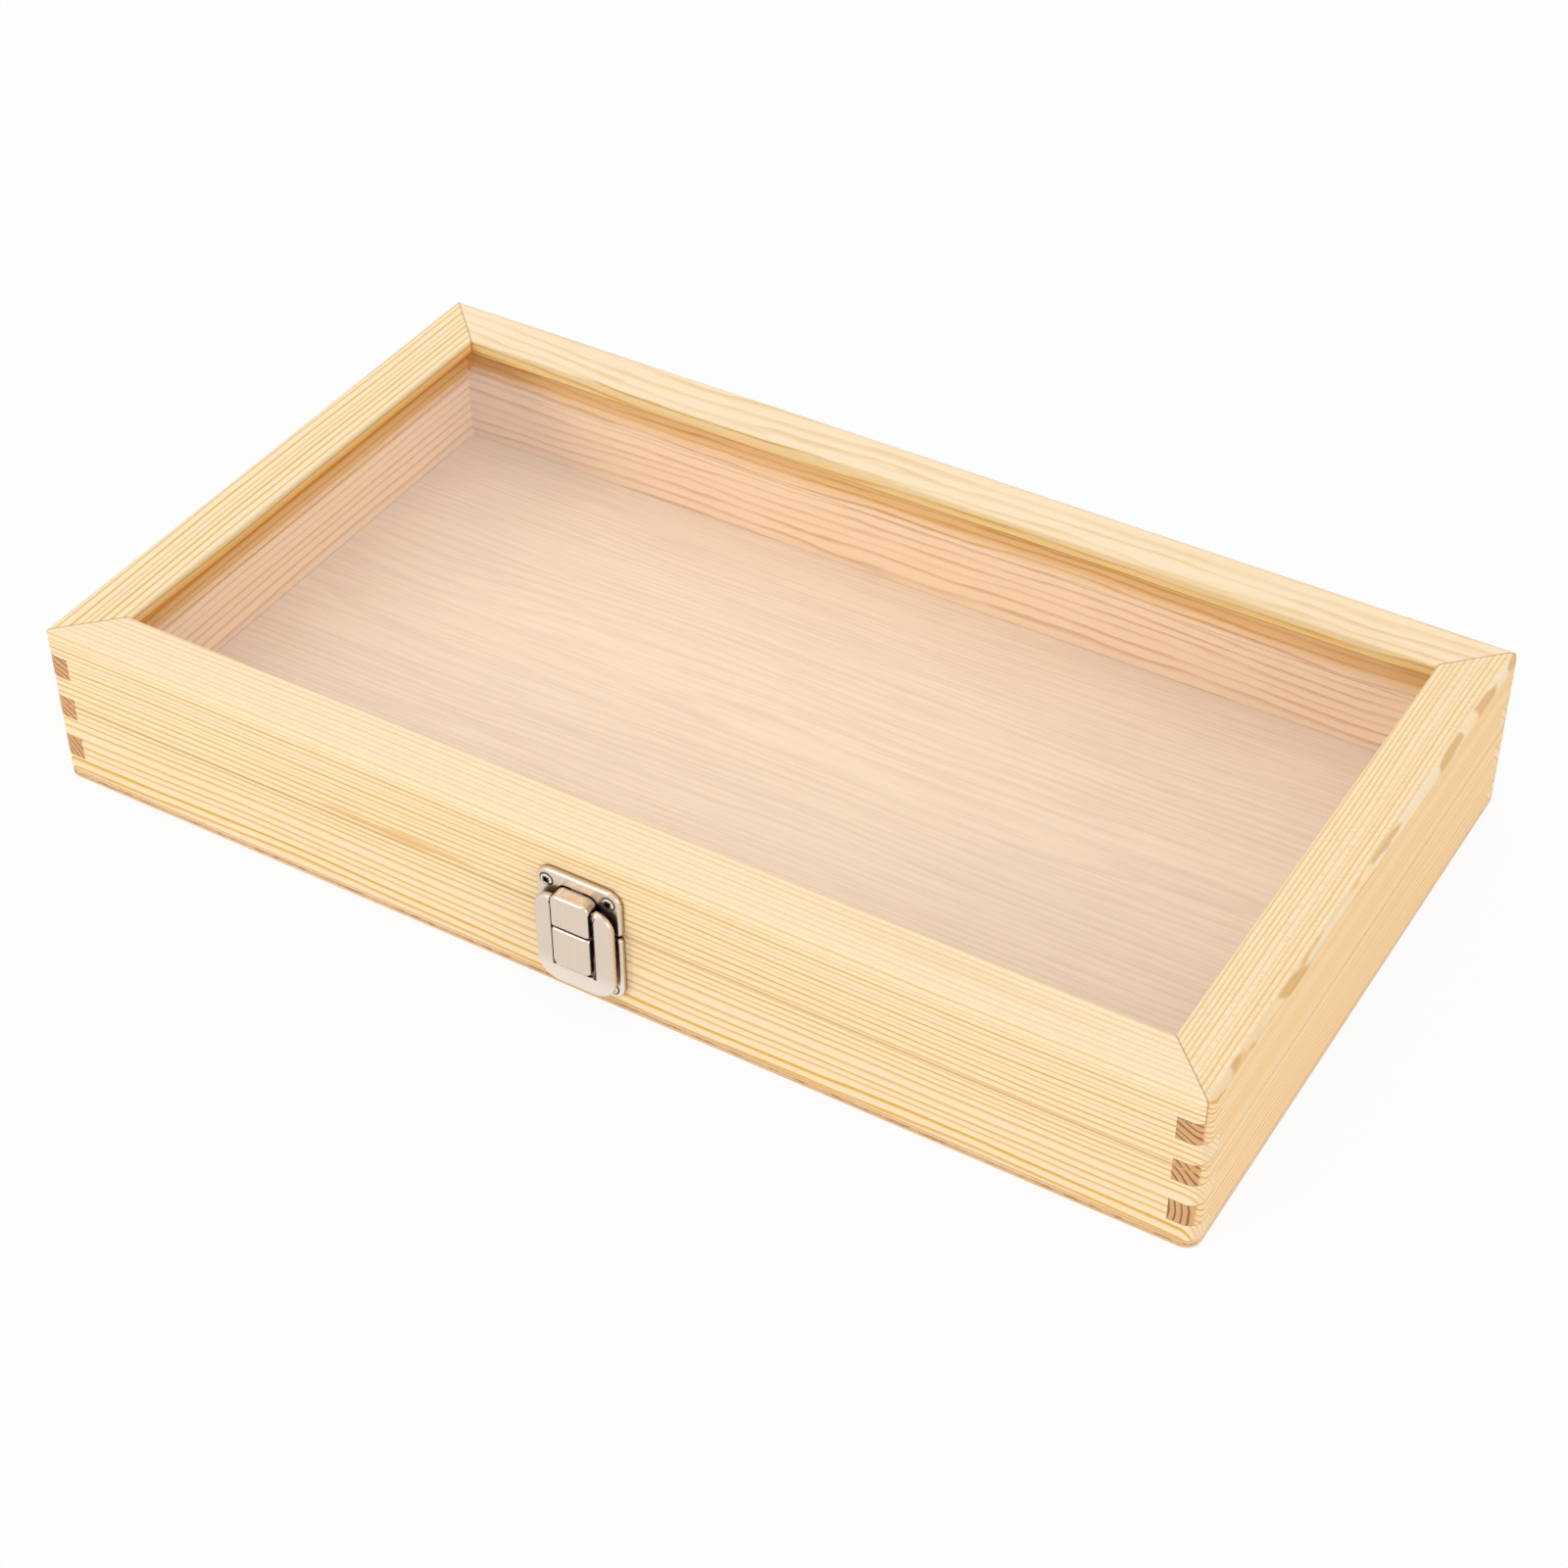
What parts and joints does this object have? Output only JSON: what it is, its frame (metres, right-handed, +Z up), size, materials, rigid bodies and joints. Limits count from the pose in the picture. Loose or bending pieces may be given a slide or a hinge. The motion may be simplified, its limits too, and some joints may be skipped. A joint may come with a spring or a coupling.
{
  "type": "enamel pin display case",
  "caption": "Shallow finger-jointed pine display case with a glazed lid on back hinges and a swinging snap latch at the front.",
  "frame": {"origin": "middle of the underside, on the surface that the case stands on", "axes": "+X along the front to the right, -Y out of the front with the latch, +Z up"},
  "size_m": [0.375, 0.2209, 0.054],
  "materials": {
    "pine": "bare sanded pine",
    "plywood": "bare plywood",
    "floor_board": "smooth veneer",
    "glass": "clear",
    "nickel": "satin nickel plate",
    "screw_steel": "satin nickel plate",
    "pin_steel": "plain steel"
  },
  "bodies": {
    "base": {"bottom_panel": "plywood", "floor_liner": "floor_board", "base_front_wall": "pine", "base_back_wall": "pine", "base_left_wall": "pine", "base_right_wall": "pine", "catch_plate": "nickel", "catch_screws": "screw_steel", "hinge_left_base_leaf": "nickel", "hinge_right_base_leaf": "nickel", "hinge_left_pin": "pin_steel", "hinge_right_pin": "pin_steel", "hinge_base_screws": "screw_steel"},
    "lid": {"lid_front_rail": "pine", "lid_back_rail": "pine", "lid_left_rail": "pine", "lid_right_rail": "pine", "glass_pane": "glass", "latch_top_plate": "nickel", "latch_top_screws": "screw_steel", "hinge_left_lid_leaf": "nickel", "hinge_right_lid_leaf": "nickel", "hinge_lid_screws": "screw_steel"},
    "latch_frame": {"latch_frame": "nickel", "latch_frame_pin": "pin_steel"}
  },
  "joints": [
    {"name": "lid_hinge", "type": "hinge", "parent": "base", "child": "lid", "pos_m": [0, 0.1071, 0.02875], "axis": [-1, 0, 0], "range_deg": [0, 180]},
    {"name": "latch_swing", "type": "hinge", "parent": "lid", "child": "latch_frame", "pos_m": [0.0012, -0.1092, 0.036], "axis": [-1, 0, 0], "range_deg": [0, 150]}
  ]
}
